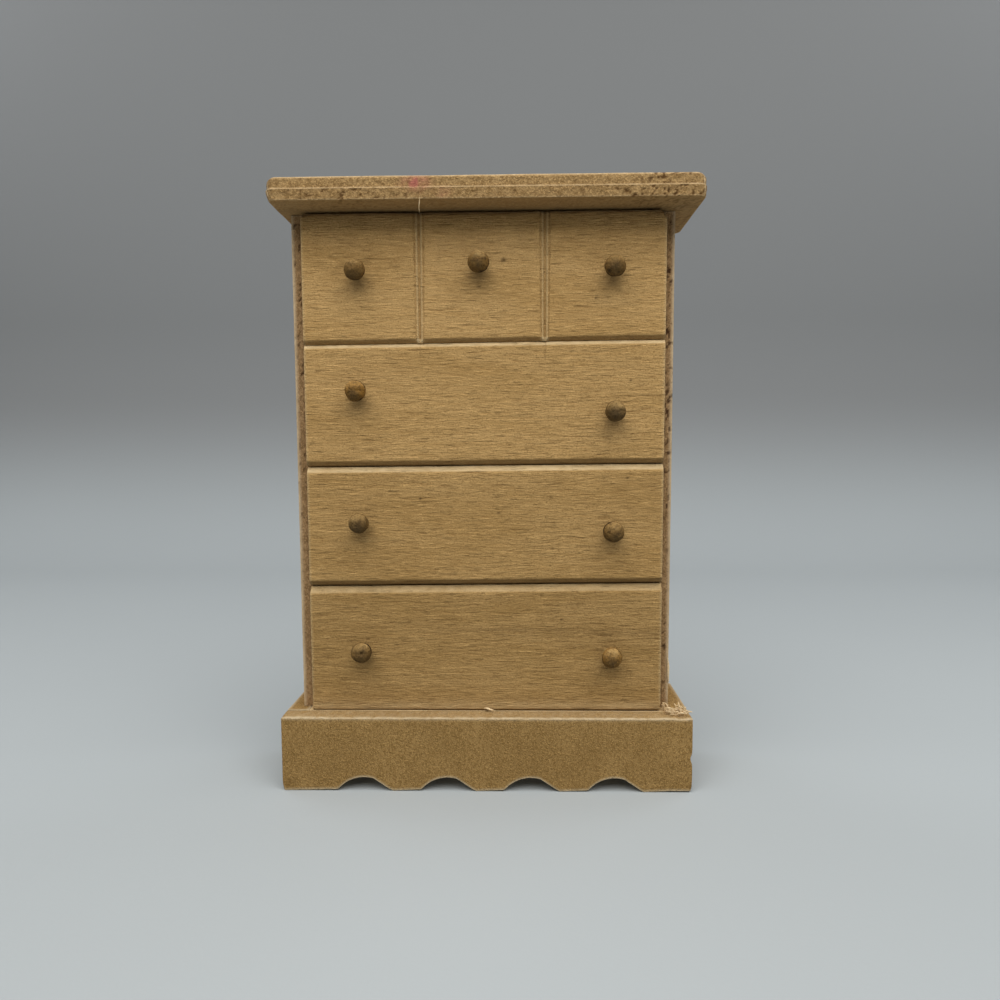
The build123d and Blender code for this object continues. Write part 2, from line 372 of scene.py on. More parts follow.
def fibreboard(name, light, deep, pore, stretch, pits, relief_mm, worn=None):
    """Fine pressed fibre: a close mottle of pale and dark specks with scattered pores."""
    s = Shader(name)
    pale = [min(1, c * 1.35) for c in light]
    soft = s.noise(tuple(0.11 * k for k in stretch), 3, 0.5)
    mottle = s.noise(tuple(2.2 * k for k in stretch), 3, 0.65)
    specks = s.noise(tuple(4.6 * k for k in stretch), 2, 0.6, 0.0, (9, 4, 2))
    pores = s.noise((2.6, 2.6, 2.6), 2, 0.6, 0.3, (3, 40, 11))
    colour = s.mix(light, deep, s.step(soft, 0.35, 0.65, 0.0, 0.5))
    colour = s.mix(colour, deep, s.step(mottle, 0.42, 0.60, 0, 0.9))
    colour = s.mix(colour, pale, s.step(specks, 0.50, 0.66, 0, 0.8))
    colour = s.mix(colour, pore, s.step(pores, 0.62, 0.72, 0, pits))
    # pale wear, and painted highlights where a piece marks them
    colour = s.mix(colour, worn or pale, s.mark("wear"))
    colour = s.marked(colour, RED_STAIN, "stain", 0.75)
    # grime, and painted shade where a piece marks it, such as under the top board
    colour = s.marked(colour, pore, "grime", 0.95)
    height = s.math("SUBTRACT", s.math("ADD", mottle, s.math("MULTIPLY", specks, 0.5)), pores)
    return s.finish(colour, s.step(mottle, 0.3, 0.7, *DULL), height, relief_mm, 0.12)


def turned_wood(name):
    """Knob wood: browner than the fronts, soiled grey by handling, each knob a little different."""
    s = Shader(name)
    rings = s.noise((2.4, 0.6, 2.4), 3, 0.6, 0.5)
    soil = s.noise((0.8, 0.8, 0.8), 3, 0.6, 0.4, (2, 5, 1))
    grit = s.noise((3.6, 3.6, 3.6), 2, 0.7, 0.2, (8, 1, 6))
    colour = s.mix((0.165, 0.098, 0.032), (0.31, 0.156, 0.032), s.mark("tint"))
    colour = s.mix(colour, (0.095, 0.046, 0.012), s.step(rings, 0.46, 0.66, 0, 0.65))
    colour = s.mix(colour, (0.095, 0.062, 0.028), s.step(soil, 0.46, 0.66, 0, 0.4))
    colour = s.marked(colour, (0.07, 0.046, 0.022), "stain", 0.8)
    # pale wear, and a painted highlight on the upper side of each knob
    colour = s.marked(colour, (0.56, 0.37, 0.15), "wear", 0.8)
    colour = s.mix(colour, (0.06, 0.030, 0.009), s.step(grit, 0.50, 0.68, 0, 0.6))
    # grime, and painted shade under the head, in the crease and on the lower side
    colour = s.marked(colour, (0.035, 0.02, 0.008), "grime", 0.95)
    height = s.math("ADD", rings, s.math("MULTIPLY", soil, 0.5))
    height = s.math("SUBTRACT", height, s.math("MULTIPLY", grit, 0.5))
    return s.finish(colour, s.step(soil, 0.35, 0.65, 0.65, 0.9), height, 0.24, 0.1)


def dark_steel(name):
    s = Shader(name)
    rust = s.noise((6, 6, 6), 3, 0.6)
    colour = s.mix((0.035, 0.03, 0.028), (0.10, 0.055, 0.03), s.step(rust, 0.4, 0.65))
    s.surface.inputs["Metallic"].default_value = 0.6
    return s.finish(colour, s.step(rust, 0.3, 0.7, 0.45, 0.8), rust, 0.02, 0.5)


front_wood = raw_wood("drawer_front_wood", ALONG_X, (0.55, 0.345, 0.138), (0.445, 0.268, 0.095),
                      (0.25, 0.135, 0.042), 0.26)
inner_wood = raw_wood("drawer_box_wood", ALONG_X, (0.60, 0.40, 0.19), (0.50, 0.32, 0.135),
                      (0.33, 0.19, 0.07), 0.07, (5, 9, 40), 0.8)
back_wood = raw_wood("back_board_wood", ALONG_Z, (0.50, 0.33, 0.145), (0.40, 0.25, 0.095),
                     (0.25, 0.14, 0.05), 0.10, (50, 9, 4))
side_face = raw_wood("side_face_wood", ALONG_Z, (0.56, 0.37, 0.17), (0.47, 0.295, 0.12),
                     (0.32, 0.185, 0.068), 0.09, (7, 30, 2), 0.8)
side_core = fibreboard("side_core", (0.33, 0.205, 0.097), (0.22, 0.128, 0.053),
                       (0.055, 0.024, 0.01), (1, 1, 0.6), 0.7, 0.15, (0.56, 0.42, 0.26))
top_edge = fibreboard("top_board_edge", (0.36, 0.228, 0.096), (0.235, 0.140, 0.052),
                      (0.085, 0.038, 0.010), (0.6, 0.6, 0.6), 0.5, 0.2, (0.66, 0.50, 0.30))
top_face = fibreboard("top_board_face", (0.50, 0.32, 0.135), (0.42, 0.258, 0.10),
                      (0.27, 0.155, 0.058), (0.35, 1, 1), 0.2, 0.05)
# painted shade: the underside is a darker copy of the top face's material
top_under_shaded = fibreboard("top_board_underside_shaded", (0.33, 0.205, 0.082), (0.27, 0.16, 0.06),
                       (0.18, 0.10, 0.035), (0.35, 1, 1), 0.2, 0.05)
plinth_face = fibreboard("plinth_board_face", (0.36, 0.222, 0.08), (0.225, 0.130, 0.040),
                         (0.16, 0.088, 0.025), (1.35, 0.9, 0.7), 0.6, 0.24, (0.60, 0.475, 0.30))
knob_wood = turned_wood("knob_wood")
pin_steel = dark_steel("pin_steel")
torn_wood = raw_wood("torn_wood", ALONG_X, (0.74, 0.58, 0.36), (0.64, 0.47, 0.26), (0.48, 0.32, 0.15), 0.03)


# ---------------------------------------------------------------- top board

STEP_Z = 2.2            # height of the lower layer of the top board's edge
STEP_IN = 0.35          # how far the upper layer stands back
STEP_BLEND = 0.12       # height over which it does so
TOP_EASE = 0.45         # height of the eased upper edge
PLAN_CORNER = 1.8       # rounding of the top board's corners, seen from above
CORNER_SAG = 0.35       # how far the bruised upper corners sag
TUCK_LEFT = 0.65        # how far the lower corners are drawn in
TUCK_RIGHT = 0.3
FACE_Y = box_mm("drawer_1_front")[0][1]


def torn_patch(points):
    """How torn the sawn edge is: worst towards the right end, with a second patch on the left."""
    x = points[:, 0]
    return 0.22 + 0.78 * hump(x - 32, 6.5) + 0.4 * hump(x + 27, 9) * value_noise(points * 0.5, 8)


def edge_pits(points, bias):
    """Pits of the sawn edge. A higher bias gives more of them."""
    return np.clip(fractal(points, (2.3, 2.3, 2.0), 33, 2) + bias, 0, 1)


def top_board():
    low, high = box_mm("top_board")
    middle_x = (low[0] + high[0]) / 2

    def shape(points, flat):
        inner = np.clip(flat[:, :2], low[:2] + PLAN_CORNER, high[:2] - PLAN_CORNER)
        away = points[:, :2] - inner
        far = np.abs(away).max(axis=1, keepdims=True)
        length = np.linalg.norm(away, axis=1, keepdims=True)
        rounded = inner + away * far / np.maximum(length, 1e-9)
        corner = (np.abs(flat[:, :2] - inner) > 1e-6).all(axis=1)
        plan = np.where(corner[:, None], rounded, points[:, :2])
        up = np.clip((points[:, 2] - low[2] - STEP_Z) / STEP_BLEND + 0.5, 0, 1)
        top_ease = soft_ramp(points[:, 2] - (high[2] - TOP_EASE), 0.08) * 0.75
        inset = STEP_IN * up + top_ease
        half = (high[0] - low[0]) / 2
        x = middle_x + (plan[:, 0] - middle_x) * (1 - (0.25 * STEP_IN * up + top_ease) / half)
        y = high[1] - (high[1] - plan[:, 1]) * (1 - inset / (high[1] - low[1]))
        z = points[:, 2].copy()
        for end, tuck in ((low[0], TUCK_LEFT), (high[0], -TUCK_RIGHT)):
            bruise = hump(x - end, 0.9) * np.clip((z - low[2] - 1.0) / 3.4, 0, 1) ** 2
            x = x + tuck * hump(x - end, 1.5) * np.clip(1 - (z - low[2]) / 2.4, 0, 1) ** 2
            z = z - CORNER_SAG * bruise
            y = y + 0.3 * bruise * hump(y - low[1], 3.0)
        return np.stack([x, y, z], axis=1)

    def relief(points, normals):
        edge = np.clip(1 - np.abs(normals[:, 2]) * 1.4, 0, 1)
        crumbs = fractal(points, (1.6, 1.6, 1.6), 21, 3)
        patch = torn_patch(points)
        pits = edge_pits(points, 0.16 * patch - 0.34)
        lower = np.clip((low[2] + STEP_Z - points[:, 2]) * 4, 0.35, 1)
        ripple = fractal(points, (0.12, 0.12, 0.12), 2, 2)
        return edge * (0.06 * crumbs + 0.5 * pits * patch * lower) + 0.05 * ripple + 0.05

    def marks(points, flat, edge):
        # painted highlight along the step between the two layers
        ledge = hump(points[:, 2] - (low[2] + STEP_Z - 0.02), 0.13)
        front = points[:, 1] < low[1] + 1.5
        stain = spot(points, -12.3, low[2] + 3.0, 2.0, 1.3)
        stain += 0.4 * spot(points, -7.2, low[2] + 1.2, 1.2, 0.9)
        stain *= front * np.clip(value_noise(points * 1.3, 9) * 1.6 - 0.1, 0, 1)
        patch = torn_patch(points)
        lower = np.where(flat[:, 2] < low[2] + STEP_Z, 1.0, 0.45)
        pits = 5 * edge_pits(flat, 0.17 * patch - 0.30) * patch * lower * (ledge < 0.3)
        # painted shade on the underside, with the lower layer of the edge darkened as well
        lower_shade = (flat[:, 2] < low[2] + STEP_Z - 0.2) * (edge > 0.2)
        bruise = spot(points, low[0], high[2] - 0.6, 1.6, 1.2) * front
        # painted shade on the underside where the top drawer front meets it
        joint = hump(points[:, 1] - FACE_Y, 1.1) * (points[:, 2] < low[2] + 0.3)
        # Pale edges are partly wear and partly painted highlight, so the upper edges are paler than the
        # lower ones.
        sharp = hump(edge, 0.26) * np.where(flat[:, 2] < low[2] + 1, 0.35, 1.0)
        wear = np.maximum(sharp, ledge * 0.8) * patchy(flat, 0.35, 0.9, 3)
        return {"wear": wear, "stain": stain, "grime": pits + 0.45 * bruise + 0.12 * lower_shade + 0.4 * joint}

    board("top_board", CARCASS, (0.36, 0.6, 0.2), 0.18, [top_edge, top_face, top_under_shaded],
          relief, (), shape, {ABOVE: 1, BELOW: 2}, marks)


# ---------------------------------------------------------------- carcass

SKIN = 0.34             # thickness of the pale skin on a side panel's outer face
# Height and half length of the most pitted stretches of each panel's edge.
HOLES_LEFT = ((97, 5), (61, 9))
HOLES_RIGHT = ((80, 20),)


def core_pits(points, bias, least):
    """Pores of a side panel's core, and how thickly they lie."""
    pits = np.clip(fractal(points, (2.2, 1.5, 1.1), 54, 2) + bias, 0, 1)
    return pits, np.clip(value_noise(points * 0.08, 12) * 2.2 - 0.5, least, 1)


def core_relief(points, normals):
    """Pores in the front edge of a side panel, and a slight wave over its faces."""
    front = np.clip(-normals[:, 1], 0, 1)
    pits, patch = core_pits(points, -0.34, 0.15)
    rough = 0.04 * fractal(points, (2, 2, 1.2), 41, 3) + 0.4 * pits * patch
    return front * rough + 0.03 * (1 + fractal(points, (0.1, 0.1, 0.1), 6, 2))


def core_marks(outer_x, holes):
    """Marks of a side panel's sawn edges: the pale skin on its outer face, and the pitted core."""
    def marks(points, flat, edge):
        pits, patch = core_pits(flat, -0.30, 0.1)
        skin = np.clip(2.0 - np.abs(points[:, 0] - outer_x) / SKIN, 0, 1) * patchy(flat, 0.6, 0.7, 31)
        pitted = sum(hump(flat[:, 2] - z, tall) for z, tall in holes)
        sawn = (flat[:, 1] < FACE_Y + 3) | (flat[:, 1] > -FACE_Y + 6)
        return {"wear": np.maximum(skin * sawn, hump(edge, 0.2) * 0.4),
                "grime": 3 * pits * (patch + pitted) * (1 - skin) * sawn}
    return marks


def carcass_sides():
    sides = (("side_left", 0, RIGHT, HOLES_LEFT), ("side_right", 1, LEFT, HOLES_RIGHT))
    for node, outer, hidden, holes in sides:
        outer_x = box_mm(node)[outer][0]
        board(node, CARCASS, (0.3, 0.8, 0.3), 0.14, [side_face, side_core], core_relief,
              (hidden, ABOVE, BELOW), None, {FRONT: 1, BACK: 1}, core_marks(outer_x, holes))


def plain_relief(seed, depth=0.035):
    """A slight wave over all faces."""
    def relief(points, normals):
        return depth * (1 + fractal(points, (0.12, 0.12, 0.12), seed, 2))
    return relief


def hidden_boards():
    """The back, base and shelves: plain boards with eased edges."""
    board("back_panel", CARCASS, (1.5, 0.8, 1.5), 0.12, [back_wood],
          plain_relief(61), (FRONT,))
    board("base_board", CARCASS, (1.5, 1.5, 0.8), 0.12, [back_wood], plain_relief(62))
    for i in range(1, len(DRAWERS)):
        board(f"dust_shelf_{i}", CARCASS, (1.5, 1.5, 0.6), 0.12, [inner_wood],
              plain_relief(62 + i))


# ---------------------------------------------------------------- plinth

ARCH_SPACING = 16.25
ARCH_CENTRES = [0.2 + ARCH_SPACING * k for k in (-1.5, -0.5, 0.5, 1.5)]
ARCH_RADIUS = 6.55
ARCH_RISE = 2.7
ARCH_END = 5.5          # from an arch's centre to the sharp corner on its right
FLANK_SLOPE = 0.68      # the right flank is cut nearly straight
FOOT_RISE = 0.04        # each foot climbs to the right, mm per mm
CORNER_EASE = 0.22      # rounding of the corner on an arch's left


def arch_height(x):
    """Height of the plinth's lower edge above the ground at x."""
    past = np.mod(x - ARCH_CENTRES[0] - ARCH_END, ARCH_SPACING)
    foot = FOOT_RISE * np.clip(past, 0, ARCH_SPACING - 2 * ARCH_END)
    foot = np.where(x < ARCH_CENTRES[0], FOOT_RISE / 2 * (x - box_mm("plinth_front")[0][0]), foot)
    arch = np.full_like(x, -1.0)
    for centre in ARCH_CENTRES:
        away = x - centre - 0.1
        curve = np.sqrt(np.clip(ARCH_RADIUS**2 - away**2, 0, None)) - (ARCH_RADIUS - ARCH_RISE)
        arch = np.maximum(arch, np.minimum(curve, FLANK_SLOPE * (centre + ARCH_END - x)))
    foot = foot * (arch < 0.8)
    ease = CORNER_EASE * np.clip(past - 2, 0, 1) * (past < 8)
    rise = (foot + arch + np.sqrt((foot - arch) ** 2 + ease**2)) / 2
    return np.maximum(rise, 0)


def plinth_front():
    low, high = box_mm("plinth_front")

    def shape(points, flat):
        lift = arch_height(points[:, 0])
        z = high[2] - (high[2] - points[:, 2]) * (1 - lift / (high[2] - low[2]))
        nick = hump(z - 6.7, 0.8) * hump(points[:, 0] - high[0], 0.7)
        x = points[:, 0] - 0.35 * nick
        left_foot = hump(points[:, 0] - low[0], 1.0) * hump(z - low[2], 0.9)
        right_foot = hump(points[:, 0] - high[0], 1.2) * hump(z - low[2], 0.8)
        x = x + 0.3 * left_foot - 0.3 * right_foot
        fuzz = fractal(points, (0.9, 0.9, 0.9), 71, 3) * hump(points[:, 2] - high[2], 0.3)
        z = z - 0.10 * (1 + fuzz) * (points[:, 2] > high[2] - 0.4)
        return np.stack([x, points[:, 1], z], axis=1)

    def relief(points, normals):
        top = np.clip(normals[:, 2], 0, 1)
        wave = 0.03 * (1 + fractal(points, (0.15, 0.15, 0.15), 72, 2))
        grit = 0.02 * fractal(points, (2, 2, 1.3), 73, 2)
        return wave + grit + 0.07 * top * fractal(points, (1.6, 1.6, 1.6), 74, 3)

    def marks(points, flat, edge):
        rim = np.clip(1.5 * hump(points[:, 2] - arch_height(points[:, 0]), 0.3), 0, 1)
        upper = hump(points[:, 2] - high[2], 0.42) * (points[:, 1] < low[1] + 1.0)
        ledge = 0.4 * (points[:, 2] > high[2] - 0.25) * value_noise(flat * 1.8, 14)
        wear = np.maximum(rim * patchy(flat, 0.7, 1.3, 4), upper * patchy(flat, 0.45, 1.3, 4)) + ledge
        grime = 0.16 * np.clip(fractal(flat, (1.9, 0, 0.05), 26, 2), 0, 1) * hump(flat[:, 0] - 4, 26)
        grime += 1.1 * spot(points, low[0] + 1.6, 1.7, 1.0, 0.9) * value_noise(points * 1.6, 19)
        grime += 1.2 * spot(points, high[0] - 0.5, 1.2, 0.35, 0.8) * value_noise(points * 2.2, 23)
        grime += 0.5 * spot(points, 17.2, 0.8, 0.25, 0.3)
        return {"wear": wear * (points[:, 1] < high[1] - 0.3), "grime": grime}

    board("plinth_front", CARCASS, (0.3, 0.7, 0.34), 0.2, [plinth_face], relief,
          (BACK,), shape, None, marks)


def plinth_rest():
    """The returns, and the colour of the brads, whose CAD shape is kept."""
    for node in ("plinth_return_left", "plinth_return_right"):
        board(node, CARCASS, (0.5, 0.6, 0.6), 0.18, [plinth_face],
              plain_relief(81, 0.04), (FRONT,))
    pins = frame["nodes"]["plinth_pins"]
    pins.data.materials.clear()
    pins.data.materials.append(pin_steel)


# ---------------------------------------------------------------- drawers

# By row, from the top down.
BEVELS = {1: (0.4, 0.85), 2: (0.8, 1.0), 3: (1.15, 1.05), 4: (1.35, 0.2)}     # upper, lower
FALLOFF_SHADE = {1: 0.0, 2: 0.24, 3: 0.48, 4: 0.76}     # painted shade: how much darker each front is painted, more towards the bottom, where the light falls off
# By joint, from the one under the top board down to the one above the plinth.
TILTS = (0.0, 0.009, 0.007, 0.009, 0.003)       # how far it is out of level, mm per mm
CLOSED = (0.0, 0.1, 0.04, 0.0, 0.22)            # how far the fronts swell into it
GROOVES = (-12.58, 11.17)
SCORES = (3.0, 3.7)     # how far each groove runs on down the second front
CLIPS = ((0.6, 0.9), (0.9, 1.5))        # width and height of the top front's clipped corners
# Row, x, z and size of the dark specks.
SPECKS = ((1, 3.4, 101.8, 0.34), (1, -1.3, 97.0, 0.2), (1, 20.9, 94.6, 0.2), (3, -12.9, 56.9, 0.22),
          (3, 27.0, 60.5, 0.2), (3, 2.4, 54.0, 0.2), (4, 14.5, 33.0, 0.2), (2, 27.6, 79.0, 0.2))
KNOBS = sorted(n for n in frame["nodes"] if n.startswith("knob_"))


def groove_depth(x, z, low_z, high_z):
    """The two tapering false divisions of the top front. Each is a V between two low ridges,
    with a crease outside each ridge."""
    total = np.zeros_like(x)
    up = np.clip((z - low_z) / (high_z - low_z), 0, 1)
    half = 0.62 + 0.33 * up
    for centre in GROOVES:
        u = np.abs(x - centre) / half
        total += 0.36 * hump(u, 0.36) + 0.17 * hump(u - 1.0, 0.2) + 0.07 * (u < 1.0)
    return total


def groove_lines(low, high, step, rounding):
    """Lines across a front, close together where the grooves and their scores run."""
    lines = grid_lines(low, high, step, rounding)
    for centre in GROOVES:
        lines = lines[np.abs(lines - centre) > 1.45]
        lines = np.concatenate([lines, centre + np.linspace(-1.4, 1.4, 29)])
    return np.sort(lines)


def front_marks(row, low, high, flat):
    """Worn ends, pale upper bevels as painted highlight, painted shade on the lower bevels, under the top
    board and in the grooves, painted shadows under the knobs with dirt round them, specks and streaks on
    one drawer front, and painted shade darkening the lower fronts.
    """
    x, z = flat[:, 0], flat[:, 2]
    face = flat[:, 1] < low[1] + 1.6
    upper, lower = BEVELS[row]
    # painted highlight: the upper bevel, which faces up to the light, is made paler; row 4 gets it weaker
    # and is also paler along its foot
    bevel = np.clip((z - (high[2] - upper)) / 0.25, 0, 1) * (0.55 if row == 4 else 1)
    bevel = np.maximum(bevel, 0.5 * hump(z - low[2], 1.6) * (row == 4))
    ends = hump(np.minimum(x - low[0], high[0] - x), 0.28) * 0.5
    wear = np.maximum(bevel, ends) * patchy(flat, 0.55, np.array([0.7, 1, 2]), 14)
    # painted shade on the lower bevel, which faces down away from the light
    underneath = np.clip((low[2] + lower - z) / 0.15, 0, 1)
    grime = 0.5 * underneath * (lower > 0.5)
    if row in (2, 3):
        grime += 0.35 * hump(low[2] - z, 0.2)
    # painted shadow of the top board's overhang across the top of the first front
    if row == 1:
        grime += 0.6 * hump(high[2] - z, 1.5)
    for node in (n for n in KNOBS if n.startswith(f"knob_{row}_")):
        knob_x, _, knob_z = np.mean(box_mm(node), axis=0)
        # painted shadow just below each knob; the smear after it is dirt from handling
        grime += 0.5 * hump(np.hypot((x - knob_x) / 1.15, z - knob_z + 1.5), 1.5)
        smear = hump(np.hypot(x - knob_x + 0.6, z - knob_z + 3.2), 2.6)
        grime += 0.16 * smear * value_noise(flat * 0.8, 15)
    for at_row, sx, sz, size in SPECKS:
        if at_row == row:
            grime += 1.3 * hump(np.hypot((x - sx) / 1.2, z - sz), size)
    machined = hump(x - (-8.7 + (z - 107) * 0.01), 0.3) * 0.10 * value_noise(flat * 0.9, 18)
    if row == 4:
        streak = hump(z - 31.0 + 0.03 * (x - 5), 0.9) * np.clip((x + 12) / 14, 0, 1)
        grime += 0.30 * streak * patchy(flat, 0.3, np.array([0.12, 1, 1.6]), 16)
    if row == 1:
        for centre in GROOVES:
            # painted shade in the crevices of each groove, and painted highlight on the ridges between them
            grime += 0.10 * hump(np.abs(x - centre) - 0.8, 0.2) + 0.2 * hump(x - centre, 0.22)
            wear += 0.4 * hump(np.abs(x - centre) - 0.42, 0.16)
            wear += 0.7 * hump(x - centre, 0.6) * (z < low[2] + 0.8)
        for centre in GROOVES:
            grime *= 1 - hump(x - centre, 0.7) * (z < low[2] + lower)
    if row == 2:
        for centre, length in zip(GROOVES, SCORES):
            score = hump(x - centre, 0.13) * (z > high[2] - length) * (z < high[2] - 0.6)
            grime += 0.28 * score * patchy(flat, 0.4, 1.7, 17)
    return {"wear": wear * face, "grime": (grime + machined) * face, "darkening": np.full_like(x, FALLOFF_SHADE[row])}


def drawer_front(row):
    """One front: bevels, wavy grain, grooves or scores, and the tilt of the joints beside it."""
    node = f"drawer_{row}_front"
    low, high = box_mm(node)
    upper, lower = BEVELS[row]
    steps, radius = (0.42, 0.5, 0.16), 0.12
    lines = [grid_lines(low[i], high[i], steps[i], radius) for i in range(3)]
    if row < 3:
        lines[0] = groove_lines(low[0], high[0], steps[0], radius)
    flat, faces, sides = box_grid(lines, (BACK,))
    points = round_edges(flat, low, high, radius)
    x, y, z = points.T.copy()
    wobble = 0.10 * fractal(flat, (0.25, 0, 0), 90 + row, 3)
    ragged = 0.10 * fractal(flat, (1.1, 0, 0.2), 95 + row, 2)
    foot = lower + wobble * (lower > 0.5) - (z - low[2])
    if row == 1:
        for centre in GROOVES:
            foot -= 0.75 * hump(x - centre, 0.8)
    depth = soft_ramp(foot, 0.08) + soft_ramp(upper - wobble + ragged - (high[2] - z), 0.14)
    from_end = np.minimum(x - low[0], high[0] - x)
    depth += 0.6 * soft_ramp(0.2 + ragged - from_end, 0.12)
    depth += 0.045 * (fractal(flat, (0.27, 0.1, 2.3), 100 + row, 2) + 0.5)
    depth += 0.05 * (fractal(flat, (0.03, 0.1, 0.08), 110 + row, 2) + 0.5)
    if row == 1:
        depth += groove_depth(x, z, low[2] + 0.2, high[2])
        for across, (width, height) in zip((x - low[0], high[0] - x), CLIPS):
            cut = 1 - across / width - (high[2] - z) / height
            depth += 2.2 * np.clip(cut * 3, 0, 1)
    if row == 2:
        for centre, length in zip(GROOVES, SCORES):
            depth += 0.14 * hump(x - centre, 0.16) * np.clip((z - high[2] + length) / 1.5, 0, 1)
    thickness = high[1] - low[1]
    share = (high[1] - y) / thickness
    points[:, 1] = high[1] - share * (thickness - np.clip(depth, 0, thickness - 0.15))
    up = (z - low[2]) / (high[2] - low[2])
    middle = (low[0] + high[0]) / 2
    points[:, 2] += (x - middle) * (TILTS[row - 1] * up + TILTS[row] * (1 - up))
    points[:, 2] += CLOSED[row - 1] * up - CLOSED[row] * (1 - up)
    marks = front_marks(row, low, high, flat)
    back_face = np.flatnonzero(sides == BACK)
    piece = new_piece(f"{node}_wood", points, faces, f"drawer_{row}", [front_wood],
                      None, back_face, marks)
    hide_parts(node)


def drawer_box(row):
    for part in ("left", "right", "back", "bottom"):
        node = f"drawer_{row}_{part}"
        board(node, f"drawer_{row}", (1.0, 1.0, 1.0), 0.1, [inner_wood],
              plain_relief(120 + row, 0.02))


# ---------------------------------------------------------------- knobs

KNOB_SEGMENTS = 64
NECK_R, NECK_LENGTH, HEAD_R, STAND, TENON = 0.95, 2.5, 2.06, 4.8, 1.6
RIM = 0.42              # thickness of the rim round the head's foot
RIM_TOP = NECK_LENGTH + RIM
RIM_FROM = 0.8          # in radii of the head: what lies further out belongs to the rim
# Directions round the knob, in radians from the right towards the top, of the painted shade crescents on
# the rim, where the shaded neck shows past the head.
SHADE_CRESCENTS = {"knob_2_left": 1.0, "knob_3_right": 2.6, "knob_4_left": 0.3, "knob_1_middle": -0.8}
CHIPPED, CHIP_ANGLE = "knob_1_left", 1.6
HOLED = "knob_4_left"
# How red and pale each knob's wood is.
TINTS = {"knob_1_left": 0.3, "knob_1_middle": 0.4, "knob_1_right": 0.35, "knob_2_left": 1.0,
         "knob_2_right": 0.0, "knob_3_left": 0.05, "knob_3_right": 0.2, "knob_4_left": 0.15,
         "knob_4_right": 0.75}


def knob_profile():
    """Radius and distance from the drawer's face, from the tenon's end to the top of the dome."""
    outline = [(0.0, -TENON), (NECK_R, -TENON), (NECK_R, 0.0), (NECK_R, 0.9), (NECK_R * 1.02, 1.7),
               (NECK_R * 1.25, 2.2), (HEAD_R * 0.80, NECK_LENGTH - 0.04),
               (HEAD_R * 0.96, NECK_LENGTH + 0.02), (HEAD_R, NECK_LENGTH + 0.16),
               (HEAD_R * 0.99, NECK_LENGTH + 0.34), (HEAD_R * 0.94, RIM_TOP)]
    turns = np.linspace(0.12, 1, 16)[:-1] * math.pi / 2
    dome = [(HEAD_R * 0.965 * math.cos(t) ** 0.9, RIM_TOP + (STAND - RIM_TOP) * math.sin(t)) for t in turns]
    return outline + dome + [(0.0, STAND)]


def turned(rings, segments):
    """A closed surface of revolution round Y. Its rings start and end on the axis."""
    angle = np.arange(segments) * 2 * math.pi / segments
    points = [(0, rings[0][1], 0)]
    for radius, along in rings[1:-1]:
        points += [(radius * math.cos(a), along, radius * math.sin(a)) for a in angle]
    points.append((0, rings[-1][1], 0))
    last = len(points) - 1 - segments
    faces = []
    for j in range(segments):
        k = (j + 1) % segments
        faces.append((1 + j, 1 + k, 0))
        for a in range(1, last, segments):
            b = a + segments
            faces.append((b + j, b + k, a + k, a + j))
        faces.append((last + segments, last + k, last + j))
    return np.array(points, float), faces


